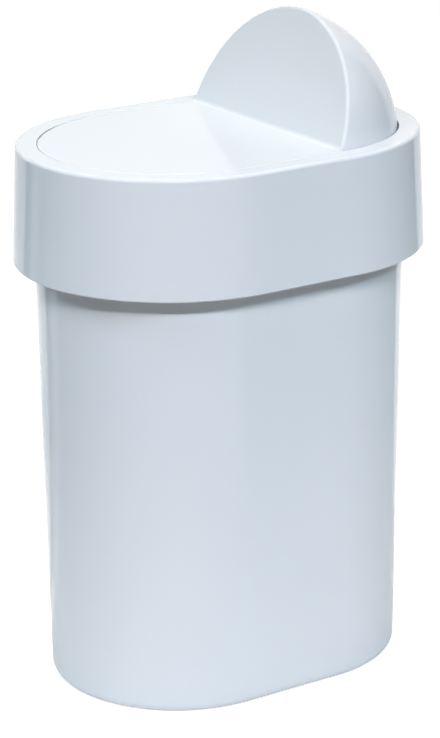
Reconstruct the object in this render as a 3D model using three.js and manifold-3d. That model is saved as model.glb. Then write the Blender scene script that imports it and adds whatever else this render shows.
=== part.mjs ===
// A small swing-lid trash can: a tapered bucket, a lift-off collar and a lid that turns on two pins.
// Millimetres, +Z up. The origin is on the floor under the middle of the bucket, and the dome is at +X.
// Every moulding follows one plan, a stadium: two half circles joined by straight sides along X.

import * as THREE from "three";
import { mergeVertices } from "three/addons/utils/BufferGeometryUtils.js";
import Module from "manifold-3d";

const wasm = await Module();
wasm.setup();

// Plan
const endCentre = 26.6; // from the middle to the centre of each half round end
const arcSteps = 24; // flat steps round each half round end
const roundSteps = 20; // flat steps round a boss, bore or pin
const filletSteps = 4; // flat steps round an edge

// Fits
const restGap = 0.3; // between pieces that touch
const overrun = 0.5; // how far a cut or a join runs past its face

// Bucket
const bucketHeight = 236;
const bucketTaper = 3.5; // how much narrower the foot's radius is than the mouth's
const bucketWall = 2.2;
const bucketFloor = 2.5;
const baseEdgeRadius = 4.5;
const footWidth = 4;
const footHeight = 1.5;
const floorFilletRadius = 6;
const flangeReach = 4.5; // how far the rolled rim stands out from the wall
const flangeThickness = 2.2;
const lipDepth = 6;
const lipWall = 1.6;
const mouthEdgeRadius = 0.9;

// Collar
const rimAboveMouth = 32.5; // from the collar's seat on the bucket to its flat top
const rimRadius = 75;
const skirtDepth = 57.4;
const skirtDraft = 2.6; // how much the outer skirt spreads over its depth
const skirtWall = 2.2;
const rimThickness = 2.4;
const rimWidth = 10.1;
const rimEdgeRadius = 1.8;
const skirtEdgeRadius = 1;
const openingEdgeRadius = 0.5;
const innerSkirtWall = 2;
const innerSkirtGap = 2; // from the inner skirt's end to the bucket's mouth
const seatRibWall = 1.6;
const seatRibsPerEnd = 5;
const seatRibSpread = 120; // degrees from the first rib to the last at each end
const seatRibLeg = 10; // how far a rib's leg reaches down outside the bucket's rim
const seatLegWall = 2.3; // from the bucket's rolled rim to the outer skirt
const ledgeDepth = 1.4;
const ledgeSetback = 12; // the ledge ends this far before the pivot axis

// Lid shell
const pivotDrop = 5.8; // the pivot axis below the rim's flat top
const lidGap = 1;
const panelThickness = 2.5;
const panelEdgeRadius = 0.5;
const discLean = 20.2; // degrees that the half disc leans back
const discSetback = 0.3; // from the pivot axis to the half disc's foot, towards the panel
const domeWall = 2.2;
const domeEdgeRadius = 1.6;
const footFilletRadius = 3;
const lidRibWall = 1.6;
const domeRounds = 60; // flat steps round the dome
const domeSteps = 20; // flat steps from the dome's pole to its edge

// Lid liner, weight and their seats
const linerThickness = 2;
const ledgeClearance = 1; // between the liner and the ledge that it passes
const weightWidth = 24;
const weightEndShare = 0.72; // of the liner's radius, from the end centre to the weight's far side
const postRadius = 2.5;
const postPlaceShares = [[-0.25, 0.62], [0.35, 0.62]]; // of the end centre and of the liner's radius
const stiffenerPlaceShares = [-0.4, 0, 0.4]; // of the liner's radius

// Pivots and the stop that holds the lid open
const pinRadius = 2;
const pinHeadRadius = 2.9;
const pinHeadThickness = 1.5;
const bossRadius = 5;
const bossLength = 9.4;
const bossInset = 0.6; // from the dome's pole to the boss's end
const bearingSpare = 1.6; // from a bearing's end to the outer skirt
const stopLength = 12; // from the axis to the tip of the stop lug
const stopLugWidth = 3;
const stopLugThickness = 2.3;
const stopInset = 1.2; // from the dome's pole to the lug's outer side
const stopRibWidth = 2.5;
const stopRibTail = 2; // how far the stop rib reaches past the lug's tip

// Sizes that follow
const degree = Math.PI / 180;
const rimPlane = bucketHeight + restGap + rimAboveMouth;
const skirtBottom = rimPlane - skirtDepth;
const openingRadius = rimRadius - rimWidth;
const flangeRadius = skirtInnerRadius(bucketHeight) - seatLegWall;
const bucketMouthRadius = flangeRadius - flangeReach;
const bucketBaseRadius = bucketMouthRadius - bucketTaper;
const pivotX = endCentre;
const pivotZ = rimPlane - pivotDrop;
const lidRadius = openingRadius - lidGap;
const domeRadius = Math.hypot(lidRadius, pivotDrop); // flush with the panel at the rim's flat top
const panelUnderside = rimPlane - panelThickness;
const linerRadius = domeRadius - domeWall - 2 * restGap;
const linerTop = pivotZ;
const linerBottom = linerTop - linerThickness;
const ledgeInnerRadius = linerRadius + ledgeClearance;
const ledgeTop = panelUnderside - restGap;
const boreRadius = pinRadius + restGap;
const bossEnd = domeRadius - bossInset;
const bearingStart = openingRadius + innerSkirtWall;
const bearingEnd = skirtInnerRadius(pivotZ) - bearingSpare;
const bossStart = bossEnd - bossLength;
const pinStart = bossStart - restGap - pinHeadThickness;
const pinEnd = bearingEnd - restGap;
const weightDistance = weightEndShare * linerRadius;
const weightReach = linerRadius - 2 * (lidRibWall + restGap); // from the end centre to its far corners
const weightLength = 2 * Math.sqrt(weightReach ** 2 - weightDistance ** 2);
const reach = rimPlane + rimRadius; // longer than anything that a clipping block cuts

// The outer skirt's radius at a height, outside and inside.
function skirtRadius(height) {
  return rimRadius + (skirtDraft * (rimPlane - height)) / skirtDepth;
}

function skirtInnerRadius(height) {
  return skirtRadius(height) - skirtWall;
}

// Solids and meshes

// A closed geometry as a solid whose faces point out.
function toSolid(geometry) {
  const bare = geometry.clone();
  bare.deleteAttribute("normal");
  bare.deleteAttribute("uv");
  const merged = mergeVertices(bare);
  const places = merged.getAttribute("position");
  const corner = (index) => new THREE.Vector3().fromBufferAttribute(places, index);
  const triangles = [];
  let volume = 0;
  for (let start = 0; start < merged.index.count; start += 3) {
    const [a, b, c] = [0, 1, 2].map((step) => merged.index.getX(start + step));
    if (a !== b && b !== c && c !== a) {
      triangles.push([a, b, c]);
      volume += corner(a).dot(corner(b).cross(corner(c)));
    }
  }
  const outward = volume > 0 ? triangles : triangles.map(([a, b, c]) => [a, c, b]);
  const vertProperties = new Float32Array(places.array);
  const triVerts = new Uint32Array(outward.flat());
  return new wasm.Manifold(new wasm.Mesh({ numProp: 3, vertProperties, triVerts }));
}

function toMesh(name, solid, material) {
  const { vertProperties, triVerts } = solid.getMesh();
  const geometry = new THREE.BufferGeometry();
  geometry.setAttribute("position", new THREE.BufferAttribute(new Float32Array(vertProperties), 3));
  geometry.setIndex(new THREE.BufferAttribute(new Uint32Array(triVerts), 1));
  geometry.computeVertexNormals();
  const mesh = new THREE.Mesh(geometry, material);
  mesh.name = name;
  return mesh;
}

function joined(solids) {
  return solids.reduce((whole, next) => whole.add(next));
}

// The points [radius, height] of an arc about a centre, from one angle in degrees to another.
function arc(radius, height, bend, from, to) {
  return Array.from({ length: filletSteps + 1 }, (_, step) => {
    const angle = (from + ((to - from) * step) / filletSteps) * degree;
    return [radius + bend * Math.cos(angle), height + bend * Math.sin(angle)];
  });
}

// The stadium outline with half round ends of one radius, at one height.
function stadiumOutline(radius, height) {
  const points = [];
  for (const end of [1, -1]) {
    for (let step = 0; step <= arcSteps; step += 1) {
      const angle = (step / arcSteps - end / 2) * Math.PI;
      const x = end * endCentre + radius * Math.cos(angle);
      points.push(new THREE.Vector3(x, radius * Math.sin(angle), height));
    }
  }
  return points;
}

// A profile of [radius, height] points carried round the stadium plan. A ring's profile closes on
// itself, and any other profile is closed by flat faces at its first and last point.
function stadiumSweep(profile, isRing = false) {
  const outlines = profile.map(([radius, height]) => stadiumOutline(radius, height));
  const around = outlines[0].length;
  const indices = [];
  const bands = isRing ? outlines.length : outlines.length - 1;
  for (let band = 0; band < bands; band += 1) {
    const low = band * around;
    const high = ((band + 1) % outlines.length) * around;
    for (let step = 0; step < around; step += 1) {
      const next = (step + 1) % around;
      indices.push(low + step, low + next, high + next, low + step, high + next, high + step);
    }
  }
  const last = (outlines.length - 1) * around;
  for (let step = 1; step < around - 1 && !isRing; step += 1) {
    indices.push(0, step + 1, step, last, last + step, last + step + 1);
  }
  const geometry = new THREE.BufferGeometry().setFromPoints(outlines.flat());
  geometry.setIndex(indices);
  return toSolid(geometry);
}

function stadiumSlab(radius, bottom, top) {
  return stadiumSweep([[radius, bottom], [radius, top]]);
}

function stadiumRing(outer, inner, bottom, top) {
  return stadiumSweep([[outer, bottom], [outer, top], [inner, top], [inner, bottom]], true);
}

// A block between two corners.
function block(low, high) {
  const size = high.map((value, axis) => value - low[axis]);
  const middle = high.map((value, axis) => (value + low[axis]) / 2);
  return toSolid(new THREE.BoxGeometry(...size).translate(...middle));
}

// A round bar along Y about the pivot axis.
function pivotBar(radius, from, to) {
  const bar = new THREE.CylinderGeometry(radius, radius, Math.abs(to - from), roundSteps);
  return toSolid(bar.translate(pivotX, (from + to) / 2, pivotZ));
}

// Bucket

function bucketRadius(height) {
  const rise = (height - baseEdgeRadius) / (bucketHeight - baseEdgeRadius);
  return bucketBaseRadius + (bucketMouthRadius - bucketBaseRadius) * rise;
}

function bucketBody() {
  const innerRadius = (height) => bucketRadius(height) - bucketWall;
  const footOuter = bucketBaseRadius - baseEdgeRadius;
  const footInner = footOuter - footWidth;
  const floorTop = footHeight + bucketFloor;
  const filletTop = floorTop + floorFilletRadius;
  const filletCentre = innerRadius(filletTop) - floorFilletRadius;
  const flangeBottom = bucketHeight - flangeThickness;
  const lipInner = flangeRadius - lipWall;
  const edgeBottom = bucketHeight - mouthEdgeRadius;
  const innerEdge = innerRadius(edgeBottom) + mouthEdgeRadius;
  return stadiumSweep([
    [footInner - footHeight, footHeight],
    [footInner, 0],
    ...arc(footOuter, baseEdgeRadius, baseEdgeRadius, -90, 0),
    [bucketRadius(flangeBottom), flangeBottom],
    [lipInner, flangeBottom],
    [lipInner, bucketHeight - lipDepth],
    [flangeRadius, bucketHeight - lipDepth],
    ...arc(flangeRadius - mouthEdgeRadius, edgeBottom, mouthEdgeRadius, 0, 90),
    ...arc(innerEdge, edgeBottom, mouthEdgeRadius, 90, 180),
    ...arc(filletCentre, filletTop, floorFilletRadius, 0, -90),
  ]);
}

// Collar

// The two skirts and the flat rim between them, open from below.
function collarShell() {
  const rimUnderside = rimPlane - rimThickness;
  const innerBottom = bucketHeight + innerSkirtGap;
  const bottomEdge = skirtBottom + skirtEdgeRadius;
  return stadiumSweep([
    [skirtInnerRadius(skirtBottom), skirtBottom],
    ...arc(skirtRadius(bottomEdge) - skirtEdgeRadius, bottomEdge, skirtEdgeRadius, -90, 0),
    ...arc(rimRadius - rimEdgeRadius, rimPlane - rimEdgeRadius, rimEdgeRadius, 0, 90),
    ...arc(openingRadius + openingEdgeRadius, rimPlane - openingEdgeRadius, openingEdgeRadius, 90, 180),
    [openingRadius, innerBottom],
    [bearingStart, innerBottom],
    [bearingStart, rimUnderside],
    [skirtInnerRadius(rimUnderside), rimUnderside],
  ], true);
}

// The ledge that the lid's panel rests on. It stops short of the pivots, where the dome turns down.
function panelLedge() {
  const root = openingRadius + overrun;
  const ledge = stadiumSweep([
    [root, ledgeTop],
    [ledgeInnerRadius, ledgeTop],
    [ledgeInnerRadius, ledgeTop - ledgeDepth],
    [root, ledgeTop - ledgeDepth - (root - ledgeInnerRadius)],
  ], true);
  return ledge.intersect(block([-reach, -reach, 0], [pivotX - ledgeSetback, reach, reach]));
}

// One upright rib between the skirts, on the plan's outline at an angle from an end's own axis.
function seatRib(end, angle, bottom) {
  const plate = new THREE.BoxGeometry(reach, seatRibWall, rimPlane - bottom);
  plate.translate(reach / 2, 0, (rimPlane + bottom) / 2);
  plate.rotateZ(angle * degree);
  return toSolid(plate.translate(end * endCentre, 0, 0));
}

// The ribs that seat the collar on the bucket's rolled rim, with legs that centre it.
function seatRibs() {
  const bottom = bucketHeight - seatRibLeg;
  const top = rimPlane - rimThickness + overrun;
  const ribs = [];
  for (const end of [1, -1]) {
    for (let step = 0; step < seatRibsPerEnd; step += 1) {
      const offset = seatRibSpread * (step / (seatRibsPerEnd - 1) - 1 / 2);
      ribs.push(seatRib(end, offset + (end === 1 ? 0 : 180), bottom));
    }
    ribs.push(seatRib(0, end * 90, bottom));
  }
  const space = stadiumSweep([
    [bearingStart - overrun, bottom],
    [skirtInnerRadius(bottom) + overrun, bottom],
    [skirtInnerRadius(top) + overrun, top],
    [bearingStart - overrun, top],
  ], true);
  const bucketRim = stadiumSlab(flangeRadius + restGap, bottom - overrun, bucketHeight + restGap);
  return joined(ribs).intersect(space).subtract(bucketRim);
}

// The rib on the inner skirt that the lid's lug meets when the half disc lies level.
function openStop(side) {
  const right = pivotX - stopLugWidth / 2 - restGap;
  const inner = domeRadius - stopInset - stopLugThickness;
  const [near, far] = [side * inner, side * (openingRadius + overrun)].sort((a, b) => a - b);
  return block(
    [right - stopRibWidth, near, pivotZ - stopLength - stopRibTail],
    [right, far, pivotZ - bossRadius - 2 * restGap],
  );
}

function collar() {
  const additions = [panelLedge(), seatRibs()];
  const bores = [];
  for (const side of [-1, 1]) {
    additions.push(pivotBar(bossRadius, side * (bearingStart - overrun), side * bearingEnd));
    additions.push(openStop(side));
    bores.push(pivotBar(boreRadius, side * (openingRadius - overrun), side * (bearingEnd + overrun)));
  }
  return joined([collarShell(), ...additions]).subtract(joined(bores));
}

// Lid

// The distance of the half disc's face in front of the pivot axis.
function discDistance() {
  return pivotDrop * Math.sin(discLean * degree) + discSetback * Math.cos(discLean * degree);
}

// A ball cut off by the half disc's plane, with a round edge where they meet. It is turned about the
// line through the ball's centre that is square to the half disc.
function cutBall(radius, face, edge) {
  const edgeCentre = face - edge;
  const edgeRing = Math.sqrt((radius - edge) ** 2 - edgeCentre ** 2);
  const meeting = Math.atan2(edgeCentre, edgeRing);
  const points = [new THREE.Vector2(0, -radius)];
  for (let step = 1; step <= domeSteps; step += 1) {
    const angle = -Math.PI / 2 + ((meeting + Math.PI / 2) * step) / domeSteps;
    points.push(new THREE.Vector2(radius * Math.cos(angle), radius * Math.sin(angle)));
  }
  const bend = arc(edgeRing, edgeCentre, edge, meeting / degree, 90).slice(1);
  points.push(...bend.map(([across, along]) => new THREE.Vector2(across, along)));
  points.push(new THREE.Vector2(0, face));
  const ball = new THREE.LatheGeometry(points, domeRounds);
  const lean = discLean * degree;
  const outward = new THREE.Vector3(-Math.cos(lean), 0, Math.sin(lean));
  ball.applyQuaternion(new THREE.Quaternion().setFromUnitVectors(new THREE.Vector3(0, 1, 0), outward));
  return toSolid(ball.translate(pivotX, 0, pivotZ));
}

// The flat panel, up to the half disc's foot.
function lidPanel() {
  const panel = stadiumSweep([
    [lidRadius, panelUnderside],
    ...arc(lidRadius - panelEdgeRadius, rimPlane - panelEdgeRadius, panelEdgeRadius, 0, 90),
  ]);
  return panel.intersect(block([-reach, -reach, 0], [pivotX - discSetback + overrun, reach, reach]));
}

// The hollow round between the panel's top and the half disc's foot.
function footFillet() {
  const lean = discLean * degree;
  const tangent = footFilletRadius / Math.tan((Math.PI / 2 + lean) / 2);
  const shape = new THREE.Shape();
  shape.moveTo(overrun, -overrun);
  shape.lineTo(-tangent, -overrun);
  shape.lineTo(-tangent, 0);
  shape.absarc(-tangent, footFilletRadius, footFilletRadius, -Math.PI / 2, -lean, false);
  shape.lineTo(tangent * Math.sin(lean) + overrun, tangent * Math.cos(lean));
  const options = { depth: 2 * reach, bevelEnabled: false, curveSegments: filletSteps };
  const bar = new THREE.ExtrudeGeometry(shape, options);
  bar.rotateX(Math.PI / 2);
  bar.translate(pivotX - discSetback, reach, rimPlane);
  const ball = new THREE.SphereGeometry(domeRadius, domeRounds, domeSteps * 2);
  return toSolid(bar).intersect(toSolid(ball.translate(pivotX, 0, pivotZ)));
}

// The walls round the weight, under the panel.
function weightPocket() {
  const left = -endCentre - weightDistance;
  const around = (margin, bottom, top) => block(
    [left - margin, -weightLength / 2 - margin, bottom],
    [left + weightWidth + margin, weightLength / 2 + margin, top],
  );
  const walls = around(restGap + lidRibWall, linerTop + restGap, panelUnderside + overrun);
  return walls.subtract(around(restGap, linerTop, panelUnderside));
}

// Ribs and posts that stiffen the panel and carry the liner.
function linerSeats() {
  const bottom = linerTop + restGap;
  const top = panelUnderside + overrun;
  const near = pivotX - discSetback;
  const far = -endCentre - weightDistance + weightWidth + restGap;
  const edge = stadiumRing(linerRadius, linerRadius - lidRibWall, bottom, top);
  const leftPart = block([-reach, -reach, 0], [pivotX - bossRadius - lidRibWall, reach, reach]);
  const seats = [edge.intersect(leftPart)];
  for (const share of stiffenerPlaceShares) {
    const y = share * linerRadius;
    seats.push(block([far, y - lidRibWall / 2, bottom], [near, y + lidRibWall / 2, top]));
  }
  for (const [along, across] of postPlaceShares) {
    for (const side of [-1, 1]) {
      const post = new THREE.CylinderGeometry(postRadius, postRadius, top - bottom, roundSteps);
      post.rotateX(Math.PI / 2);
      seats.push(toSolid(post.translate(along * endCentre, side * across * linerRadius, (top + bottom) / 2)));
    }
  }
  return joined(seats);
}

// The lug beside a pivot boss. It hangs level with the stop's face when the lid is fully open.
function stopLug(side) {
  const outer = domeRadius - stopInset;
  const lug = new THREE.BoxGeometry(stopLength, stopLugThickness, stopLugWidth);
  lug.translate(stopLength / 2, 0, 0);
  lug.rotateY(discLean * degree);
  return toSolid(lug.translate(pivotX, side * (outer - stopLugThickness / 2), pivotZ));
}

function lidShell() {
  const edgeInside = Math.max(domeEdgeRadius - domeWall, overrun);
  const aboveLiner = block([-reach, -reach, linerBottom], [reach, reach, 2 * reach]);
  const dome = cutBall(domeRadius, discDistance(), domeEdgeRadius).intersect(aboveLiner);
  const hollow = cutBall(domeRadius - domeWall, discDistance() - domeWall, edgeInside);
  const linerSpace = stadiumSlab(linerRadius + restGap, linerBottom - overrun, linerTop + restGap);
  const skin = joined([lidPanel(), dome, footFillet()]).subtract(hollow).subtract(linerSpace);
  const additions = [linerSeats(), weightPocket()];
  const bores = [];
  for (const side of [-1, 1]) {
    additions.push(pivotBar(bossRadius, side * bossStart, side * bossEnd));
    additions.push(stopLug(side));
    bores.push(pivotBar(boreRadius, side * (bossStart - overrun), side * (domeRadius + overrun)));
    bores.push(pivotBar(pinHeadRadius + restGap, side * (2 * pinStart - pinEnd), side * bossStart));
  }
  return joined([skin, ...additions]).subtract(joined(bores));
}

// The closing plate under the whole lid, notched round the pivot bosses and the stop lugs.
function lidLiner() {
  const bossClear = bossRadius + restGap;
  const notchInner = pinStart - restGap;
  const lugInner = domeRadius - stopInset - stopLugThickness - restGap;
  const lugEnd = stopLength + stopLugWidth / 2 + restGap;
  const notches = [];
  for (const side of [-1, 1]) {
    const span = (inner) => [side * inner, side * reach].sort((a, b) => a - b);
    const [bossLow, bossHigh] = span(notchInner);
    const [lugLow, lugHigh] = span(lugInner);
    const [low, high] = [linerBottom - overrun, linerTop + overrun];
    notches.push(block([pivotX - bossClear, bossLow, low], [pivotX + bossClear, bossHigh, high]));
    notches.push(block([pivotX, lugLow, low], [pivotX + lugEnd, lugHigh, high]));
  }
  return stadiumSlab(linerRadius, linerBottom, linerTop).subtract(joined(notches));
}

// The steel strip between panel and liner that swings the lid shut.
function lidWeight() {
  const left = -endCentre - weightDistance;
  return block(
    [left, -weightLength / 2, linerTop + restGap],
    [left + weightWidth, weightLength / 2, panelUnderside - restGap],
  );
}

// A headed pin, pushed outwards through the lid's boss into the collar's bearing.
function pivotPin(side) {
  const head = pivotBar(pinHeadRadius, side * pinStart, side * (pinStart + pinHeadThickness));
  return head.add(pivotBar(pinRadius, side * (pinStart + overrun), side * pinEnd));
}

const plastic = { color: 0xe3e9ee, roughness: 0.22, metalness: 0 };
const insidePlastic = { color: 0xd6dde3, roughness: 0.45, metalness: 0 };
const steel = { color: 0xa9adb1, roughness: 0.4, metalness: 1 };
const material = (look) => new THREE.MeshStandardMaterial(look);

const trashCan = new THREE.Group();
trashCan.add(
  toMesh("bin_body", bucketBody(), material(plastic)),
  toMesh("collar", collar(), material(plastic)),
  toMesh("lid_shell", lidShell(), material(plastic)),
  toMesh("lid_liner", lidLiner(), material(insidePlastic)),
  toMesh("lid_weight", lidWeight(), material(steel)),
  toMesh("pivot_pin_front", pivotPin(-1), material(steel)),
  toMesh("pivot_pin_back", pivotPin(1), material(steel)),
);

export default trashCan;
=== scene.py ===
"""A small swing-lid trash can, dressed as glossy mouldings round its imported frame, in a plain studio.

The bucket and the collar are profiles carried round one stadium plan. The lid is a flat panel, a
leaning half disc and a dome whose centre is the pivot. Lengths are in metres, with +Z up, and the
dome is at +X.
"""

import math

import bmesh
import bpy
from mathutils import Matrix, Vector


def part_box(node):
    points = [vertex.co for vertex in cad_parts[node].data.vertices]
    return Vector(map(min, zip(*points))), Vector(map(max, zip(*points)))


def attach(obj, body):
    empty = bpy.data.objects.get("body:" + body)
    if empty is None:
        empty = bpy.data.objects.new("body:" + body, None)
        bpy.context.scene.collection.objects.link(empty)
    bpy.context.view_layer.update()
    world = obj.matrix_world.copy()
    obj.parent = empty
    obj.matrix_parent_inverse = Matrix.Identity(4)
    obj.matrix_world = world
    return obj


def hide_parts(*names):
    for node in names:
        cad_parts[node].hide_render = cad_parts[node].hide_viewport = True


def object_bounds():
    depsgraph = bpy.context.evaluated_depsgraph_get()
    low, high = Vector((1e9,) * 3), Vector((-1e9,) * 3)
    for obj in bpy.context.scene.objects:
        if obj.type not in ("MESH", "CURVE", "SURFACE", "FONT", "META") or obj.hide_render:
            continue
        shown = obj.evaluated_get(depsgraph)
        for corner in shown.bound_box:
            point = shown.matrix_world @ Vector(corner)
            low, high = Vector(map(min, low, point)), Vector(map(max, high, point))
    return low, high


bl_info = {
    "name": "Swing-lid trash can",
    "version": (1, 0, 0),
    "blender": (4, 5, 0),
    "location": "3D View > Sidebar > Trash can",
    "description": "Makes a glossy swing-lid trash can and its studio, piece by piece",
    "category": "Add Mesh",
}

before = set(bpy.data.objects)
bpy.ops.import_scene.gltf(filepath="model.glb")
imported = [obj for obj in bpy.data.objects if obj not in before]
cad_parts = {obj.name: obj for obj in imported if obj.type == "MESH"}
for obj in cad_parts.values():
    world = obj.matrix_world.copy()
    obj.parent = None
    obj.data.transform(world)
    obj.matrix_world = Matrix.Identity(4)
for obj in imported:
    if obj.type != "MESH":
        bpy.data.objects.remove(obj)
CAD_BOX = [list(corner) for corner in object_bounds()]

BUCKET_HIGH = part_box("bin_body")[1]
COLLAR_LOW, COLLAR_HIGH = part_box("collar")
LINER_LOW, LINER_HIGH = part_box("lid_liner")
PIN_LOW, PIN_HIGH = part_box("pivot_pin_back")
WEIGHT_LOW, WEIGHT_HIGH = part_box("lid_weight")
PIVOT = (PIN_LOW + PIN_HIGH) / 2
PIVOT.y = 0.0  # where the pins' axis crosses the middle of the can
ALONG_Y = Vector((0.0, 1.0, 0.0))

MM = 0.001
OVERRUN = 0.5 * MM  # how far a cut or a join runs past its face
REACH = 0.4  # longer than anything that a clipping block cuts
CAMERA_REACH = 50.0  # past everything that the camera sees
MERGE_DISTANCE = 1e-7  # points nearer than this are one
ON_AXIS = 1e-9  # a radius below this is a point on the axis
WALL_STEPS = 12  # faces down the bucket's wall
BAR_STEPS = 48  # faces round a pin, a boss or a bore
POST_STEPS = 32  # faces round a post
RIB_PLACES = (-0.4, 0.0, 0.4)  # across the can, as shares of the liner's radius
POST_PLACES = (-0.25, 0.35)  # along the can, as shares of the end centre
POST_SPREAD = 0.62  # from the middle to a post, as a share of the liner's radius
FLAT_FACE_WEIGHT = 60  # how far large faces lead in the even normals
DEEP_TONE = 0.97  # how bright the drifts of tone in plastic are beside its own colour
LINE_TONE = 0.93  # how bright the drawn lines in steel are beside its own colour

# Each softbox: azimuth and elevation in degrees, width and height in metres
SOFTBOXES = {
    "key": (-33, 40, 1.6, 0.2),
    "fill": (5, 38, 1.0, 0.2),
    "left": (-120, 36, 0.9, 0.3),
    "high_left": (-90, 55, 0.9, 0.5),
    "right": (100, 36, 0.9, 0.3),
    "overhead": (-90, 89, 0.9, 0.9),
    "back": (150, 8, 1.6, 0.3),
}


# Settings

def setting(kind, **limits):
    """A short way to write a property, which needs only its name, description and default."""
    def make(name, description, default):
        return kind(name=name, description=description, default=default, **limits)
    return make


length = setting(bpy.props.FloatProperty, min=0.0, precision=5, unit="LENGTH")
share = setting(bpy.props.FloatProperty, min=0.0, max=1.0, subtype="FACTOR")
power = setting(bpy.props.FloatProperty, min=0.0, unit="POWER")
count = setting(bpy.props.IntProperty, min=1)
colour = setting(bpy.props.FloatVectorProperty, size=3, min=0.0, max=1.0, subtype="COLOR")
turn_angle = setting(bpy.props.FloatProperty, unit="ROTATION")


def angle(name, description, degrees):
    return turn_angle(name, description, math.radians(degrees))


class PlanSettings(bpy.types.PropertyGroup):
    end_centre: length("End centre", "From the middle to the centre of each half round end", 26.6 * MM)
    mean_radius: length("Mean radius", "The radius at which profiles are carried round the plan", 68 * MM)
    round_steps: count("Round steps", "Steps round both half round ends together", 192)
    fillet_steps: count("Fillet steps", "Steps round a quarter of an edge", 7)
    rest_gap: length("Rest gap", "Between pieces that touch", 0.3 * MM)


class BucketSettings(bpy.types.PropertyGroup):
    height: length("Height", "From the floor to the bucket's mouth", BUCKET_HIGH.z)
    flange_radius: length("Rolled rim radius", "Outside radius of the rolled rim", 72 * MM)
    flange_reach: length("Rolled rim reach", "How far the rolled rim stands out from the wall", 4.5 * MM)
    taper: length("Taper", "How much narrower the foot's radius is than the mouth's", 3.5 * MM)
    wall: length("Wall", "Wall thickness", 2.2 * MM)
    floor: length("Floor", "Floor thickness", 2.5 * MM)
    base_edge: length("Base edge", "Radius of the round edge at the foot", 4.5 * MM)
    foot_width: length("Foot width", "Width of the ring that the bucket stands on", 4 * MM)
    foot_height: length("Foot height", "How far the bottom is raised off the floor", 1.5 * MM)
    floor_fillet: length("Floor fillet", "Radius between the floor and the wall inside", 6 * MM)
    flange_thickness: length("Rolled rim thickness", "Thickness of the rolled rim's top", 2.2 * MM)
    lip_depth: length("Lip depth", "Depth of the rolled rim's lip", 6 * MM)
    lip_wall: length("Lip wall", "Wall thickness of the rolled rim's lip", 1.6 * MM)
    mouth_edge: length("Mouth edge", "Radius of the round edges at the mouth", 0.9 * MM)


class CollarSettings(bpy.types.PropertyGroup):
    rim_plane: length("Rim height", "From the floor to the collar's flat top", COLLAR_HIGH.z)
    skirt_bottom: length("Skirt bottom", "From the floor to the outer skirt's lower edge", COLLAR_LOW.z)
    rim_radius: length("Rim radius", "Outside radius at the top", 75 * MM)
    skirt_draft: length("Skirt draft", "How much the outer skirt spreads over its depth", 2.6 * MM)
    skirt_wall: length("Skirt wall", "Wall thickness of the outer skirt", 2.2 * MM)
    rim_thickness: length("Rim thickness", "Thickness of the flat rim", 2.4 * MM)
    rim_width: length("Rim width", "From the rim's outside to the opening", 10.35 * MM)
    rim_edge: length("Rim edge", "Radius of the rim's outer edge", 1.8 * MM)
    skirt_edge: length("Skirt edge", "Radius of the outer skirt's lower edge", 1.0 * MM)
    opening_edge: length("Opening edge", "Radius of the edge round the opening", 0.25 * MM)
    inner_skirt_wall: length("Inner skirt wall", "Thickness of the skirt round the opening", 2 * MM)
    inner_skirt_gap: length("Inner skirt gap", "From the inner skirt's end to the bucket's mouth", 2 * MM)
    rib_wall: length("Seat rib wall", "Thickness of a seat rib", 1.6 * MM)
    ribs_per_end: count("Seat ribs per end", "Seat ribs round each half round end", 5)
    rib_spread: angle("Seat rib spread", "From the first seat rib to the last at each end", 120)
    rib_leg: length("Seat rib leg", "How far a rib's leg reaches down outside the bucket's rim", 10 * MM)
    ledge_depth: length("Ledge depth", "Thickness of the ledge that the panel rests on", 1.4 * MM)
    ledge_radius: length("Ledge radius", "Inside radius of the ledge", LINER_HIGH.y + 1.0 * MM)
    ledge_setback: length("Ledge setback", "How far before the pivot axis the ledge ends", 12 * MM)
    bearing_spare: length("Bearing spare", "From a bearing's end to the outer skirt", 1.6 * MM)


class LidSettings(bpy.types.PropertyGroup):
    radius: length("Panel radius", "Radius of the panel's half round end", 64.3 * MM)
    dome_radius: length("Dome radius", "Radius of the dome about the pivot", 64.12 * MM)
    corner_ease: length("Corner ease", "How far the panel's edge draws in at its corners", 0.75 * MM)
    corner_angle: angle("Corner angle", "From the end's tip to the middle of a drawn in corner", 52)
    corner_spread: angle("Corner spread", "How far a drawn in corner reaches to each side", 28)
    panel_thickness: length("Panel thickness", "Thickness of the flat panel", 2.5 * MM)
    panel_edge: length("Panel edge", "Radius of the panel's upper edge", 0.45 * MM)
    disc_lean: angle("Half disc lean", "How far the half disc leans back", 20.2)
    disc_setback: length("Half disc setback", "From the pivot axis to the half disc's foot", 0.3 * MM)
    dome_wall: length("Dome wall", "Wall thickness of the dome", 2.2 * MM)
    dome_edge: length("Dome edge", "Radius of the edge between the half disc and the dome", 1.6 * MM)
    foot_fillet: length("Foot fillet", "Radius between the panel and the half disc", 3 * MM)
    rib_wall: length("Rib wall", "Thickness of the ribs under the panel", 1.6 * MM)
    liner_radius: length("Liner radius", "Radius of the closing plate under the lid", LINER_HIGH.y)
    post_radius: length("Post radius", "Radius of the posts that carry the liner", 2.5 * MM)
    liner_edge: length("Liner edge", "Radius of the closing plate's round edges", 0.3 * MM)
    ball_rounds: count("Dome rounds", "Steps round the dome", 192)
    ball_steps: count("Dome steps", "Steps from the dome's pole to its edge", 60)


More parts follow.
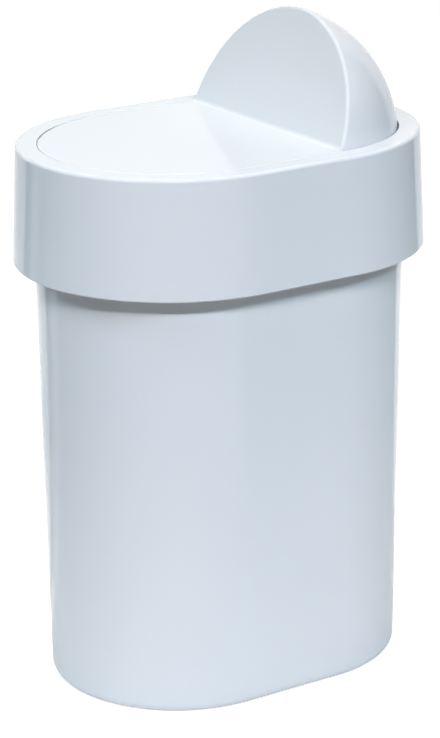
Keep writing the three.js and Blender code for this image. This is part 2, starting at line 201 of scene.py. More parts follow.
class PivotSettings(bpy.types.PropertyGroup):
    pin_radius: length("Pin radius", "Radius of a pivot pin", 2 * MM)
    head_radius: length("Pin head radius", "Radius of a pivot pin's head", 2.9 * MM)
    head_thickness: length("Pin head thickness", "Thickness of a pivot pin's head", 1.5 * MM)
    pin_start: length("Pin start", "From the middle to a pin's head", PIN_LOW.y)
    pin_end: length("Pin end", "From the middle to a pin's tip", PIN_HIGH.y)
    chamfer: length("Pin chamfer", "Chamfer round a pin's ends", 0.35 * MM)
    boss_radius: length("Boss radius", "Radius of the lid's bosses and the collar's bearings", 5 * MM)
    boss_length: length("Boss length", "Length of a boss in the lid", 9.4 * MM)
    boss_inset: length("Boss inset", "From the dome's pole to a boss's end", 0.6 * MM)
    stop_length: length("Stop length", "From the axis to the tip of the stop lug", 12 * MM)
    lug_width: length("Stop lug width", "Width of the stop lug", 3 * MM)
    lug_thickness: length("Stop lug thickness", "Thickness of the stop lug", 2.3 * MM)
    stop_inset: length("Stop inset", "From the dome's pole to the lug's outer side", 1.2 * MM)
    stop_rib_width: length("Stop rib width", "Width of the collar's stop rib", 2.5 * MM)
    stop_rib_tail: length("Stop rib tail", "How far the stop rib reaches past the lug's tip", 2 * MM)


class FinishSettings(bpy.types.PropertyGroup):
    shell: colour("Shell colour", "Glossy plastic of the bucket, collar and lid", (0.83, 0.865, 0.90))
    shell_roughness: share("Shell roughness", "Roughness of the glossy plastic", 0.05)
    liner: colour("Liner colour", "Satin plastic of the closing plate", (0.78, 0.815, 0.85))
    liner_roughness: share("Liner roughness", "Roughness of the satin plastic", 0.42)
    steel: colour("Steel colour", "Steel of the weight and the pins", (0.62, 0.63, 0.64))
    steel_roughness: share("Steel roughness", "Roughness of the steel", 0.34)


class StudioSettings(bpy.types.PropertyGroup):
    floor_size: length("Floor size", "Side of the square floor", 8.0)
    floor_colour: colour("Floor colour", "Plain pale floor", (0.86, 0.86, 0.86))
    sheet_glow: share("Sheet glow", "Brightness of the white sheet behind the can in reflections", 1.0)
    front_glow: share("Front glow", "Brightness of the floor in front of the can in reflections", 0.7)
    sheet_azimuth: angle("Sheet azimuth", "Direction of the white sheet from the can", 152)
    sheet_half_angle: angle("Sheet half angle", "Half of the angle that the white sheet fills", 48)
    strip_glow: share("Strip glow", "Extra brightness of the narrow board beside the sheet", 0.45)
    strip_azimuth: angle("Strip azimuth", "Direction of the narrow board from the can", 215)
    strip_half_angle: angle("Strip half angle", "Half of the angle that the narrow board fills", 5)
    edge_angle: angle("Edge angle", "How softly the sheet and the board end", 1.5)
    room_glow: share("Room glow", "Brightness of the room round them in reflections", 0.25)
    near_glow: share("Near glow", "White that the camera and reflections see on the floor by the can", 0.55)
    glow_start: length("Glow start", "From the middle to where the floor's glow begins to rise", 0.35)
    glow_end: length("Glow end", "From the middle to where the floor is fully white", 0.65)
    lamp_spread: angle("Lamp spread", "Angle of the grids on the softboxes", 30)
    lamp_distance: length("Lamp distance", "From the can to a softbox", 2.4)
    key_power: power("Key power", "Power of the wide flat softbox above the camera", 1.80)
    key_tint: colour("Key tint", "Colour of the wide flat softbox above the camera", (0.965, 0.942, 1.0))
    fill_power: power("Fill power", "Power of the fill at the right of the camera", 0.694)
    fill_tint: colour("Fill tint", "Colour of the fill at the right of the camera", (0.647, 0.865, 1.0))
    left_power: power("Left power", "Power of the softbox at the panel's side", 0.33)
    left_tint: colour("Left tint", "Colour of the softbox at the panel's side", (0.35, 0.79, 1.0))
    high_left_power: power("High left power", "Power of the softbox high at the panel's side", 0.35)
    high_left_tint: colour(
        "High left tint", "Colour of the softbox high at the panel's side", (0.937, 0.975, 1.0))
    right_power: power("Right power", "Power of the softbox at the dome's side", 0.116)
    right_tint: colour("Right tint", "Colour of the softbox at the dome's side", (0.0, 0.474, 1.0))
    overhead_power: power("Overhead power", "Power of the softbox overhead", 1.165)
    overhead_tint: colour("Overhead tint", "Colour of the softbox overhead", (1.0, 0.852, 0.70))
    back_power: power("Back power", "Power of the softbox low behind the can", 0.72)
    back_tint: colour("Back tint", "Colour of the softbox low behind the can", (1.0, 1.0, 1.0))
    lens: bpy.props.FloatProperty(
        name="Lens", description="Focal length of the camera", default=141.64, min=1.0, unit="CAMERA")
    camera_distance: length("Camera distance", "From the camera to the point that it looks at", 1.430)
    camera_azimuth: angle("Camera azimuth", "Turn of the camera round the can", -33.14)
    camera_elevation: angle("Camera elevation", "Camera angle above the horizon", 18.48)
    camera_roll: angle("Camera roll", "Turn of the camera about its own axis", -0.557)
    camera_target: bpy.props.FloatVectorProperty(
        name="Camera target", description="The point that the camera looks at",
        default=(-0.94 * MM, 0.0, 149.2 * MM), size=3, subtype="XYZ", unit="LENGTH")


class TrashCanSettings(bpy.types.PropertyGroup):
    plan: bpy.props.PointerProperty(type=PlanSettings)
    bucket: bpy.props.PointerProperty(type=BucketSettings)
    collar: bpy.props.PointerProperty(type=CollarSettings)
    lid: bpy.props.PointerProperty(type=LidSettings)
    pivot: bpy.props.PointerProperty(type=PivotSettings)
    finish: bpy.props.PointerProperty(type=FinishSettings)
    studio: bpy.props.PointerProperty(type=StudioSettings)


def settings():
    return bpy.context.scene.trash_can


# Meshes and solids

def new_object(name, data):
    made = bpy.data.objects.new(name, data)
    bpy.context.scene.collection.objects.link(made)
    return made


def mesh_from(points, faces, edges=()):
    mesh = bpy.data.meshes.new("shape")
    mesh.from_pydata(points, list(edges), faces)
    return mesh


def discard(made):
    mesh = made.data
    bpy.data.objects.remove(made)
    bpy.data.meshes.remove(mesh)


def plain_mesh(made):
    """The object's evaluated shape as a mesh of its own, with its modifiers gone."""
    bpy.context.view_layer.update()
    graph = bpy.context.evaluated_depsgraph_get()
    mesh = bpy.data.meshes.new_from_object(made.evaluated_get(graph))
    old = made.data
    made.modifiers.clear()
    made.data = mesh
    bpy.data.meshes.remove(old)
    return made


def close_up(made):
    """Fills what is open, merges doubles and turns the faces outward."""
    shape = bmesh.new()
    shape.from_mesh(made.data)
    bmesh.ops.remove_doubles(shape, verts=shape.verts, dist=MERGE_DISTANCE)
    open_edges = [edge for edge in shape.edges if edge.is_boundary]
    if open_edges:
        bmesh.ops.holes_fill(shape, edges=open_edges, sides=0)
    bmesh.ops.recalc_face_normals(shape, faces=shape.faces)
    if any(len(edge.link_faces) != 2 for edge in shape.edges):
        raise RuntimeError(f"{made.name} isn't closed")
    shape.to_mesh(made.data)
    shape.free()
    return made


def combine(base, operation, tools):
    """Joins, cuts or clips a solid with others, which are used up."""
    for tool in tools:
        step = base.modifiers.new(operation, "BOOLEAN")
        step.operation = operation
        step.solver = "MANIFOLD"
        step.object = tool
    plain_mesh(base)
    for tool in tools:
        discard(tool)
    if not base.data.polygons:
        raise RuntimeError(f"nothing is left of {base.name}")
    return base


def join(base, *tools):
    return combine(base, "UNION", tools)


def cut(base, *tools):
    return combine(base, "DIFFERENCE", tools)


def clip(base, *tools):
    return combine(base, "INTERSECT", tools)


def arc(radius, height, bend, start, end):
    """The points (radius, height) of an arc about a centre, from one angle in degrees to another."""
    steps = settings().plan.fillet_steps
    turns = [math.radians(start + (end - start) * step / steps) for step in range(steps + 1)]
    return [(radius + bend * math.cos(turn), height + bend * math.sin(turn)) for turn in turns]


def block(low, high):
    """A block between two corners."""
    (x0, y0, z0), (x1, y1, z1) = low, high
    points = [(x, y, z) for z in (z0, z1) for y in (y0, y1) for x in (x0, x1)]
    faces = [(0, 2, 3, 1), (4, 5, 7, 6), (0, 1, 5, 4), (2, 6, 7, 3), (0, 4, 6, 2), (1, 3, 7, 5)]
    return close_up(new_object("block", mesh_from(points, faces)))


def spun(profile, steps, axis, centre):
    """A profile of (radius, height) points that starts and ends on the axis, turned into a solid."""
    points, rings = [], []
    for radius, height in profile:
        if radius < ON_AXIS:
            rings.append([len(points)])
            points.append((0.0, 0.0, height))
            continue
        rings.append(list(range(len(points), len(points) + steps)))
        for step in range(steps):
            turn = 2 * math.pi * step / steps
            points.append((radius * math.cos(turn), radius * math.sin(turn), height))
    faces = []
    for low, high in zip(rings, rings[1:]):
        for step in range(steps):
            corners = [low[step % len(low)], low[(step + 1) % len(low)],
                       high[(step + 1) % len(high)], high[step % len(high)]]
            faces.append(tuple(dict.fromkeys(corners)))
    made = new_object("spun", mesh_from(points, faces))
    turn = axis.to_track_quat("Z", "Y").to_matrix().to_4x4()
    made.data.transform(Matrix.Translation(centre) @ turn)
    return close_up(made)


def bar(radius, low, high, steps, axis, centre):
    """A round bar along an axis."""
    return spun([(0.0, low), (radius, low), (radius, high), (0.0, high)], steps, axis, centre)


def pivot_bar(radius, start, end):
    """A round bar along Y about the pivot axis."""
    return bar(radius, *sorted((start, end)), BAR_STEPS, ALONG_Y, PIVOT)


def prism(outline, low, high):
    """An outline of (x, z) points carried along Y."""
    around = len(outline)
    points = [(x, y, z) for y in (low, high) for x, z in outline]
    faces = [tuple(range(around)), tuple(range(2 * around - 1, around - 1, -1))]
    for step in range(around):
        after = (step + 1) % around
        faces.append((step, step + around, after + around, after))
    return close_up(new_object("prism", mesh_from(points, faces)))


def left_of(x):
    """A block that holds all that lies on the panel's side of an x."""
    return block((-REACH, -REACH, 0.0), (x, REACH, REACH))


# Nodes

class Nodes:
    """Short ways to add nodes to one tree."""

    def __init__(self, tree):
        self.tree = tree

    def node(self, kind, values=(), links=()):
        """A node with its own values, and with each input linked to an output or set to a value."""
        made = self.tree.nodes.new(kind)
        for name, value in dict(values).items():
            setattr(made, name, value)
        for socket, source in dict(links).items():
            if isinstance(source, bpy.types.NodeSocket):
                self.tree.links.new(source, made.inputs[socket])
            else:
                made.inputs[socket].default_value = source
        return made

    def math(self, operation, *values, clamp=False):
        return self.node("ShaderNodeMath", {"operation": operation, "use_clamp": clamp},
                         dict(enumerate(values))).outputs[0]


# Geometry Nodes

class Tree(Nodes):
    """A Geometry Nodes tree with named inputs, which ends by realizing instances and setting a material."""

    def __init__(self, name, inputs):
        super().__init__(bpy.data.node_groups.new(name, "GeometryNodeTree"))
        for label, kind, default in [("Geometry", "NodeSocketGeometry", None), *inputs,
                                     ("Material", "NodeSocketMaterial", None)]:
            socket = self.tree.interface.new_socket(name=label, in_out="INPUT", socket_type=kind)
            if default is not None:
                socket.default_value = default
        self.tree.interface.new_socket(name="Geometry", in_out="OUTPUT", socket_type="NodeSocketGeometry")
        self.start = self.tree.nodes.new("NodeGroupInput")

    def input(self, name):
        return self.start.outputs[name]

    def vector(self, **parts):
        return self.node("ShaderNodeCombineXYZ", links={k.upper(): v for k, v in parts.items()}).outputs[0]

    def end(self, geometry):
        realized = self.node("GeometryNodeRealizeInstances", links={"Geometry": geometry})
        painted = self.node("GeometryNodeSetMaterial", links={
            "Geometry": realized.outputs[0], "Material": self.input("Material")})
        self.node("NodeGroupOutput", links={"Geometry": painted.outputs[0]})
        return self.tree


def stadium_sweep_tree():
    """Carries a profile round a stadium plan: a circle whose two halves are drawn apart."""
    found = bpy.data.node_groups.get("Stadium sweep")
    if found:
        return found
    tree = Tree("Stadium sweep", [
        ("End Centre", "NodeSocketFloat", 0.0266), ("Plan Radius", "NodeSocketFloat", 0.068),
        ("Round Steps", "NodeSocketInt", 192)])
    circle = tree.node("GeometryNodeCurvePrimitiveCircle", links={
        "Resolution": tree.input("Round Steps"), "Radius": tree.input("Plan Radius")})
    half_step = tree.math("DIVIDE", math.pi, tree.input("Round Steps"))
    turned = tree.node("GeometryNodeTransform", links={
        "Geometry": circle.outputs[0], "Rotation": tree.vector(z=half_step)})
    place = tree.node("GeometryNodeInputPosition")
    across = tree.node("ShaderNodeSeparateXYZ", links={"Vector": place.outputs[0]})
    apart = tree.math("MULTIPLY", tree.math("SIGN", across.outputs["X"]), tree.input("End Centre"))
    drawn = tree.node("GeometryNodeSetPosition", links={
        "Geometry": turned.outputs[0], "Offset": tree.vector(x=apart)})
    upright = tree.node("GeometryNodeSetCurveNormal", {"mode": "Z_UP"}, {"Curve": drawn.outputs[0]})
    profile = tree.node("GeometryNodeMeshToCurve", links={"Mesh": tree.input("Geometry")})
    swept = tree.node("GeometryNodeCurveToMesh", links={
        "Curve": upright.outputs[0], "Profile Curve": profile.outputs[0]})
    return tree.end(swept.outputs[0])


def end_ribs_tree():
    """Stands one rib round both half round ends of the plan, and one on each straight side."""
    found = bpy.data.node_groups.get("Ribs round the plan")
    if found:
        return found
    tree = Tree("Ribs round the plan", [
        ("End Centre", "NodeSocketFloat", 0.0266), ("Ribs per End", "NodeSocketInt", 5),
        ("Spread", "NodeSocketFloat", 2.0944)])
    index = tree.node("GeometryNodeInputIndex").outputs[0]
    last = tree.math("SUBTRACT", tree.input("Ribs per End"), 1.0)
    turn = tree.math("MULTIPLY", tree.input("Spread"),
                     tree.math("SUBTRACT", tree.math("DIVIDE", index, last), 0.5))
    end_points = tree.node("GeometryNodePoints", links={
        "Count": tree.input("Ribs per End"), "Position": tree.vector(x=tree.input("End Centre"))})
    end_ribs = tree.node("GeometryNodeInstanceOnPoints", links={
        "Points": end_points.outputs[0], "Instance": tree.input("Geometry"),
        "Rotation": tree.vector(z=turn)})
    other_end = tree.node("GeometryNodeTransform", links={
        "Geometry": end_ribs.outputs[0], "Rotation": (0.0, 0.0, math.pi)})
    side_points = tree.node("GeometryNodePoints", links={"Count": 2})
    side_turn = tree.math("MULTIPLY", math.pi, tree.math("SUBTRACT", index, 0.5))
    side_ribs = tree.node("GeometryNodeInstanceOnPoints", links={
        "Points": side_points.outputs[0], "Instance": tree.input("Geometry"),
        "Rotation": tree.vector(z=side_turn)})
    all_ribs = tree.node("GeometryNodeJoinGeometry")
    for ribs in (end_ribs, other_end, side_ribs):
        tree.tree.links.new(ribs.outputs[0], all_ribs.inputs[0])
    return tree.end(all_ribs.outputs[0])


def grow(made, tree, values):
    """Runs a Geometry Nodes tree on an object and keeps the result as a plain mesh."""
    step = made.modifiers.new(tree.name, "NODES")
    step.node_group = tree
    for item in tree.interface.items_tree:
        if item.item_type == "SOCKET" and item.in_out == "INPUT" and item.name in values:
            step[item.identifier] = values[item.name]
    return plain_mesh(made)


def swept(profile, is_ring=False, material=None):
    """A profile of (radius, height) points carried round the plan and closed."""
    plan = settings().plan
    points = [(radius - plan.mean_radius, -height, 0.0) for radius, height in profile]
    edges = [(step, step + 1) for step in range(len(points) - 1)]
    if is_ring:
        edges.append((len(points) - 1, 0))
    made = new_object("swept", mesh_from(points, [], edges))
    grow(made, stadium_sweep_tree(), {
        "End Centre": plan.end_centre, "Plan Radius": plan.mean_radius,
        "Round Steps": plan.round_steps, "Material": material})
    return close_up(made)


def slab(radius, bottom, top):
    return swept([(radius, bottom), (radius, top)])


def ring(outer, inner, bottom, top):
    return swept([(outer, bottom), (outer, top), (inner, top), (inner, bottom)], True)


# Finishes

def shader_group(name, inputs, build):
    """A shader node group with named sockets, made once and shared. Its inputs are colours and numbers."""
    found = bpy.data.node_groups.get(name)
    if found:
        return found
    tree = bpy.data.node_groups.new(name, "ShaderNodeTree")
    for label, default in inputs.items():
        kind = "NodeSocketColor" if isinstance(default, tuple) else "NodeSocketFloat"
        tree.interface.new_socket(name=label, in_out="INPUT", socket_type=kind).default_value = default
    start, end = tree.nodes.new("NodeGroupInput"), tree.nodes.new("NodeGroupOutput")
    for label, source in build(Shading(tree), start.outputs).items():
        kind = "NodeSocketColor" if source.type == "RGBA" else "NodeSocketFloat"
        tree.interface.new_socket(name=label, in_out="OUTPUT", socket_type=kind)
        tree.links.new(source, end.inputs[label])
    return tree


class Shading(Nodes):
    """Short ways to add shader nodes to one tree."""

    def group(self, tree, links):
        return self.node("ShaderNodeGroup", {"node_tree": tree}, links)

    def vector_math(self, operation, *values):
        return self.node("ShaderNodeVectorMath", {"operation": operation}, dict(enumerate(values)))

    def place(self):
        return self.node("ShaderNodeTexCoord").outputs["Object"]

    def noise(self, vector, per_metre, detail=2.0, roughness=0.5):
        return self.node("ShaderNodeTexNoise", links={
            "Vector": vector, "Scale": per_metre, "Detail": detail, "Roughness": roughness}).outputs["Fac"]

    def ramp(self, value, low, high, out_low=0.0, out_high=1.0):
        return self.node("ShaderNodeMapRange", {"interpolation_type": "SMOOTHSTEP"}, {
            "Value": value, "From Min": low, "From Max": high,
            "To Min": out_low, "To Max": out_high}).outputs[0]

    def blend(self, factor, first, second):
        """A mix of two colours, which are the Mix node's inputs 6 and 7, with their mix at output 2."""
        colours = {0: factor, 6: first, 7: second}
        return self.node("ShaderNodeMix", {"data_type": "RGBA"}, colours).outputs[2]

    def paint(self, shader):
        """Ends a material with one shader."""
        self.node("ShaderNodeOutputMaterial", links={"Surface": shader.outputs[0]})


def opaque(rgb, tone=1.0):
    """A colour with no see-through, at its own brightness or less."""
    return (*[part * tone for part in rgb], 1.0)


def flow_tone_group():
    """Slow drifts of tone that melt leaves in a thick moulding."""
    def build(shading, given):
        drift = shading.noise(shading.place(), given["Drifts per Metre"], 1.0)
        depth = shading.math("MULTIPLY", shading.ramp(drift, 0.35, 0.65), given["Depth"])
        return {"Color": shading.blend(depth, given["Color"], given["Deep Color"])}
    return shader_group("Flow tone", {
        "Color": (0.8, 0.8, 0.8, 1.0), "Deep Color": (0.7, 0.7, 0.7, 1.0),
        "Drifts per Metre": 9.0, "Depth": 0.3}, build)


def dust_group():
    """Fine dust that lies in specks on level faces."""
    def build(shading, given):
        normal = shading.node("ShaderNodeTexCoord").outputs["Normal"]
        upward = shading.node("ShaderNodeSeparateXYZ", links={"Vector": normal}).outputs["Z"]
        level = shading.ramp(upward, 0.6, 1.0)
        specks = shading.noise(shading.place(), given["Specks per Metre"], 4.0, 0.7)
        specks = shading.ramp(specks, 0.52, 0.78)
        spread = shading.math("MULTIPLY", specks, given["Amount"])
        mask = shading.math("MULTIPLY", level, spread, clamp=True)
        return {"Mask": mask, "Color": shading.blend(mask, given["Color"], given["Dust Color"])}
    return shader_group("Settled dust", {
        "Color": (0.8, 0.8, 0.8, 1.0), "Dust Color": (0.62, 0.61, 0.59, 1.0),
        "Specks per Metre": 260.0, "Amount": 0.1}, build)


def handling_group():
    """Roughness with the faint smears and hair scratches of use."""
    def build(shading, given):
        place = shading.place()
        smears = shading.ramp(shading.noise(place, given["Smears per Metre"], 3.0, 0.6), 0.48, 0.72)
        stretched = shading.node("ShaderNodeMapping", links={
            "Vector": place, "Rotation": (0.5, 0.3, 0.7), "Scale": (1.0, 14.0, 1.0)})
        hairs = shading.ramp(shading.noise(
            stretched.outputs[0], given["Scratches per Metre"], 5.0, 0.75), 0.66, 0.74)
        marks = shading.math("ADD", shading.math("MULTIPLY", smears, given["Smears"]),
                             shading.math("MULTIPLY", hairs, given["Scratches"]))
        return {"Roughness": shading.math("ADD", given["Roughness"], marks, clamp=True)}
    return shader_group("Handling marks", {
        "Roughness": 0.2, "Smears": 0.05, "Smears per Metre": 22.0,
        "Scratches": 0.04, "Scratches per Metre": 60.0}, build)


def skin_group():
    """The height of a moulded skin: a long soft waviness with fine peel or grain over it."""
    def build(shading, given):
        place = shading.place()
        waves = shading.noise(place, given["Waves per Metre"], 1.0)
        grain = shading.noise(place, given["Grains per Metre"], 2.0)
        return {"Height": shading.math("ADD", shading.math("MULTIPLY", waves, given["Wave Height"]),
                                       shading.math("MULTIPLY", grain, given["Grain Height"]))}
    return shader_group("Moulded skin", {
        "Waves per Metre": 30.0, "Wave Height": 1.0, "Grains per Metre": 420.0, "Grain Height": 0.1}, build)


def new_material(name, rgb):
    """An empty node material and the short ways to fill it."""
    material = bpy.data.materials.new(name)
    material.use_nodes = True
    material.diffuse_color = opaque(rgb)
    material.node_tree.nodes.clear()
    return material, Shading(material.node_tree)


def plastic(name, rgb, roughness, waves, grains, smears):
    """Moulded plastic. Waves and grains are pairs: how many to the metre, and their height in metres."""
    found = bpy.data.materials.get(name)
    if found:
        return found
    material, shading = new_material(name, rgb)
    toned = shading.group(flow_tone_group(), {
        "Color": opaque(rgb), "Deep Color": opaque(rgb, DEEP_TONE), "Depth": 0.5})
    dusted = shading.group(dust_group(), {"Color": toned.outputs["Color"], "Amount": 0.05})
    handled = shading.group(handling_group(), {
        "Roughness": roughness, "Smears": smears, "Scratches": smears * 0.6})
    dulled = shading.math("ADD", handled.outputs["Roughness"],
                          shading.math("MULTIPLY", dusted.outputs["Mask"], 2.0), clamp=True)
    skin = shading.group(skin_group(), {
        "Waves per Metre": waves[0], "Wave Height": waves[1],
        "Grains per Metre": grains[0], "Grain Height": grains[1]})
    bump = shading.node("ShaderNodeBump", links={
        "Strength": 1.0, "Distance": 1.0, "Height": skin.outputs["Height"]})
    surface = shading.node("ShaderNodeBsdfPrincipled", links={
        "Base Color": dusted.outputs["Color"], "Roughness": dulled, "IOR": 1.5, "Normal": bump.outputs[0]})
    shading.paint(surface)
    return material


def shell_plastic():
    finish = settings().finish
    return plastic("gloss_shell_plastic", finish.shell, finish.shell_roughness,
                   (26.0, 14e-6), (900.0, 0.3e-6), 0.03)


def liner_plastic():
    finish = settings().finish
    return plastic("satin_liner_plastic", finish.liner, finish.liner_roughness,
                   (34.0, 8e-6), (2600.0, 6e-6), 0.08)


def bright_steel():
    finish = settings().finish
    found = bpy.data.materials.get("bright_steel")
    if found:
        return found
    material, shading = new_material("bright_steel", finish.steel)
    drawn = shading.node("ShaderNodeMapping", links={
        "Vector": shading.place(), "Scale": (900.0, 30.0, 900.0)})
    lines = shading.noise(drawn.outputs[0], 1.0, 3.0, 0.6)
    tone = shading.blend(shading.ramp(lines, 0.3, 0.7),
                         opaque(finish.steel, LINE_TONE), opaque(finish.steel))
    handled = shading.group(handling_group(), {
        "Roughness": finish.steel_roughness, "Smears": 0.06, "Smears per Metre": 60.0, "Scratches": 0.08})
    bump = shading.node("ShaderNodeBump", links={"Strength": 1.0, "Distance": 2e-6, "Height": lines})
    surface = shading.node("ShaderNodeBsdfPrincipled", links={
        "Base Color": tone, "Metallic": 1.0, "Roughness": handled.outputs["Roughness"],
        "Normal": bump.outputs[0]})
    shading.paint(surface)
    return material


def dress(made, name, material, body, nodes, sharp_angle=32):
    """Names a finished piece, shades it and hands it to its body in place of its CAD nodes."""
    made.name = name
    mesh = made.data
    mesh.name = name
    mesh.materials.clear()
    mesh.materials.append(material)
    for face in mesh.polygons:
        face.material_index = 0
    mesh.shade_smooth()
    mesh.set_sharp_from_angle(angle=math.radians(sharp_angle))
    even = made.modifiers.new("Even normals", "WEIGHTED_NORMAL")
    even.keep_sharp = True
    even.weight = FLAT_FACE_WEIGHT
    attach(made, body)
    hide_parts(*nodes)
    return made


# Bucket

def bucket_profile():
    size = settings().bucket
    mouth = size.flange_radius - size.flange_reach
    base = mouth - size.taper

    def outer(height):
        return base + size.taper * (height - size.base_edge) / (size.height - size.base_edge)

    def inner(height):
        return outer(height) - size.wall

    foot_outer = base - size.base_edge
    foot_inner = foot_outer - size.foot_width
    floor_top = size.foot_height + size.floor
    fillet_top = floor_top + size.floor_fillet
    flange_bottom = size.height - size.flange_thickness
    lip_inner = size.flange_radius - size.lip_wall
    lip_bottom = size.height - size.lip_depth
    edge = size.mouth_edge
    edge_bottom = size.height - edge
    soft = size.lip_wall / 4
    root = soft * 2
    wall_heights = [size.base_edge + (flange_bottom - root - size.base_edge) * step / WALL_STEPS
                    for step in range(1, WALL_STEPS + 1)]
    inner_heights = [edge_bottom + (fillet_top - edge_bottom) * step / WALL_STEPS
                     for step in range(1, WALL_STEPS)]
    return [
        (foot_inner - size.foot_height - root, size.foot_height),
        *arc(foot_inner - size.foot_height - root, size.foot_height - soft, soft, 90, 45),
        (foot_inner - soft, soft),
        (foot_inner, 0.0),
        *arc(foot_outer, size.base_edge, size.base_edge, -90, 0),
        *[(outer(height), height) for height in wall_heights],
        *arc(outer(flange_bottom) + root, flange_bottom - root, root, 180, 90),
        *arc(lip_inner - root, flange_bottom - root, root, 90, 0),
        *arc(lip_inner + soft, lip_bottom + soft, soft, 180, 270),
        *arc(size.flange_radius - soft, lip_bottom + soft, soft, -90, 0),
        *arc(size.flange_radius - edge, edge_bottom, edge, 0, 90),
        *arc(inner(edge_bottom) + edge, edge_bottom, edge, 90, 180),
        *[(inner(height), height) for height in inner_heights],
        *arc(inner(fillet_top) - size.floor_fillet, fillet_top, size.floor_fillet, 0, -90),
    ]


class TRASHCAN_OT_bucket(bpy.types.Operator):
    """Make the tapered bucket with its foot ring and rolled rim"""

    bl_idname = "trashcan.bucket"
    bl_label = "Bucket"

    def execute(self, context):
        material = shell_plastic()
        made = swept(bucket_profile(), material=material)
        dress(made, "bucket_moulding", material, "bucket", ["bin_body"])
        return {"FINISHED"}


# Collar

def opening_radius():
    size = settings().collar
    return size.rim_radius - size.rim_width


def skirt_radius(height):
    size = settings().collar
    depth = size.rim_plane - size.skirt_bottom
    return size.rim_radius + size.skirt_draft * (size.rim_plane - height) / depth


def skirt_inner_radius(height):
    return skirt_radius(height) - settings().collar.skirt_wall


def collar_shell(material):
    """The two skirts and the flat rim between them, open from below."""
    size, bucket = settings().collar, settings().bucket
    opening = opening_radius()
    bearing_start = opening + size.inner_skirt_wall
    underside = size.rim_plane - size.rim_thickness
    inner_bottom = bucket.height + size.inner_skirt_gap
    edge_height = size.skirt_bottom + size.skirt_edge
    soft = size.skirt_edge / 2
    return swept([
        (skirt_inner_radius(size.skirt_bottom), size.skirt_bottom + soft),
        (skirt_inner_radius(size.skirt_bottom) + soft, size.skirt_bottom),
        *arc(skirt_radius(edge_height) - size.skirt_edge, edge_height, size.skirt_edge, -90, 0),
        *arc(size.rim_radius - size.rim_edge, size.rim_plane - size.rim_edge, size.rim_edge, 0, 90),
        *arc(opening + size.opening_edge, size.rim_plane - size.opening_edge, size.opening_edge, 90, 180),
        *arc(opening + soft, inner_bottom + soft, soft, 180, 270),
        *arc(bearing_start - soft, inner_bottom + soft, soft, -90, 0),
        *arc(bearing_start + soft, underside - soft, soft, 180, 90),
        *arc(skirt_inner_radius(underside) - soft, underside - soft, soft, 90, 0),
    ], True, material)


def panel_ledge():
    """The ledge that the lid's panel rests on. It stops short of the pivots."""
    size, plan, lid = settings().collar, settings().plan, settings().lid
    root = opening_radius() + OVERRUN
    top = size.rim_plane - lid.panel_thickness - plan.rest_gap
    low = top - size.ledge_depth
    soft = size.ledge_depth / 4
    ledge = swept([
        (root, top), *arc(size.ledge_radius + soft, top - soft, soft, 90, 180),
        (size.ledge_radius, low), (root, low - (root - size.ledge_radius)),
    ], True)
    return clip(ledge, left_of(PIVOT.x - size.ledge_setback))


def seat_ribs():
    """The ribs that seat the collar on the bucket's rolled rim, with legs that centre it."""
    size, plan, bucket = settings().collar, settings().plan, settings().bucket
    bottom = bucket.height - size.rib_leg
    top = size.rim_plane - size.rim_thickness + OVERRUN
    near = opening_radius() + size.inner_skirt_wall - OVERRUN
    seat = bucket.height + plan.rest_gap
    leg = bucket.flange_radius + plan.rest_gap
    soft = size.rib_wall / 3
    outline = [
        (near, seat), (leg - soft, seat), *arc(leg - soft, seat - soft, soft, 90, 0)[1:],
        *[(leg, bottom + soft), (leg + soft, bottom)],
        (skirt_inner_radius(bottom) + OVERRUN, bottom), (skirt_inner_radius(top) + OVERRUN, top),
        (near, top),
    ]
    rib = prism(outline, -size.rib_wall / 2, size.rib_wall / 2)
    grow(rib, end_ribs_tree(), {
        "End Centre": plan.end_centre, "Ribs per End": size.ribs_per_end, "Spread": size.rib_spread})
    return close_up(rib)


def bearing(side):
    """A boss between the skirts that a pivot pin turns in, with its bore still solid."""
    size, pivot = settings().collar, settings().pivot
    start = opening_radius() + size.inner_skirt_wall - OVERRUN
    end = skirt_inner_radius(PIVOT.z) - size.bearing_spare
    return pivot_bar(pivot.boss_radius, side * start, side * end)


def bearing_bore(side):
    size, pivot, plan = settings().collar, settings().pivot, settings().plan
    start = opening_radius() - OVERRUN
    end = skirt_inner_radius(PIVOT.z) - size.bearing_spare + OVERRUN
    return pivot_bar(pivot.pin_radius + plan.rest_gap, side * start, side * end)


def open_stop(side):
    """The rib on the inner skirt that the lid's lug meets when the half disc lies level."""
    pivot, plan, lid = settings().pivot, settings().plan, settings().lid
    right = PIVOT.x - pivot.lug_width / 2 - plan.rest_gap
    inner = lid.dome_radius - pivot.stop_inset - pivot.lug_thickness
    near, far = sorted((side * inner, side * (opening_radius() + OVERRUN)))
    return block(
        (right - pivot.stop_rib_width, near, PIVOT.z - pivot.stop_length - pivot.stop_rib_tail),
        (right, far, PIVOT.z - pivot.boss_radius - 2 * plan.rest_gap))


class TRASHCAN_OT_collar(bpy.types.Operator):
    """Make the lift-off collar with its rim, ledge, seat ribs, bearings and open stops"""

    bl_idname = "trashcan.collar"
    bl_label = "Collar"

    def execute(self, context):
        material = shell_plastic()
        made = join(collar_shell(material), panel_ledge(), seat_ribs(),
                    *[piece(side) for side in (-1, 1) for piece in (bearing, open_stop)])
        cut(made, bearing_bore(-1), bearing_bore(1))
        dress(made, "collar_moulding", material, "lid_frame", ["collar"])
        return {"FINISHED"}


# Lid

def disc_distance():
    """The distance of the half disc's face in front of the pivot axis."""
    lid, collar = settings().lid, settings().collar
    drop = collar.rim_plane - PIVOT.z
    return drop * math.sin(lid.disc_lean) + lid.disc_setback * math.cos(lid.disc_lean)


def disc_normal():
    """The direction that the half disc faces."""
    lean = settings().lid.disc_lean
    return Vector((-math.cos(lean), 0.0, math.sin(lean)))


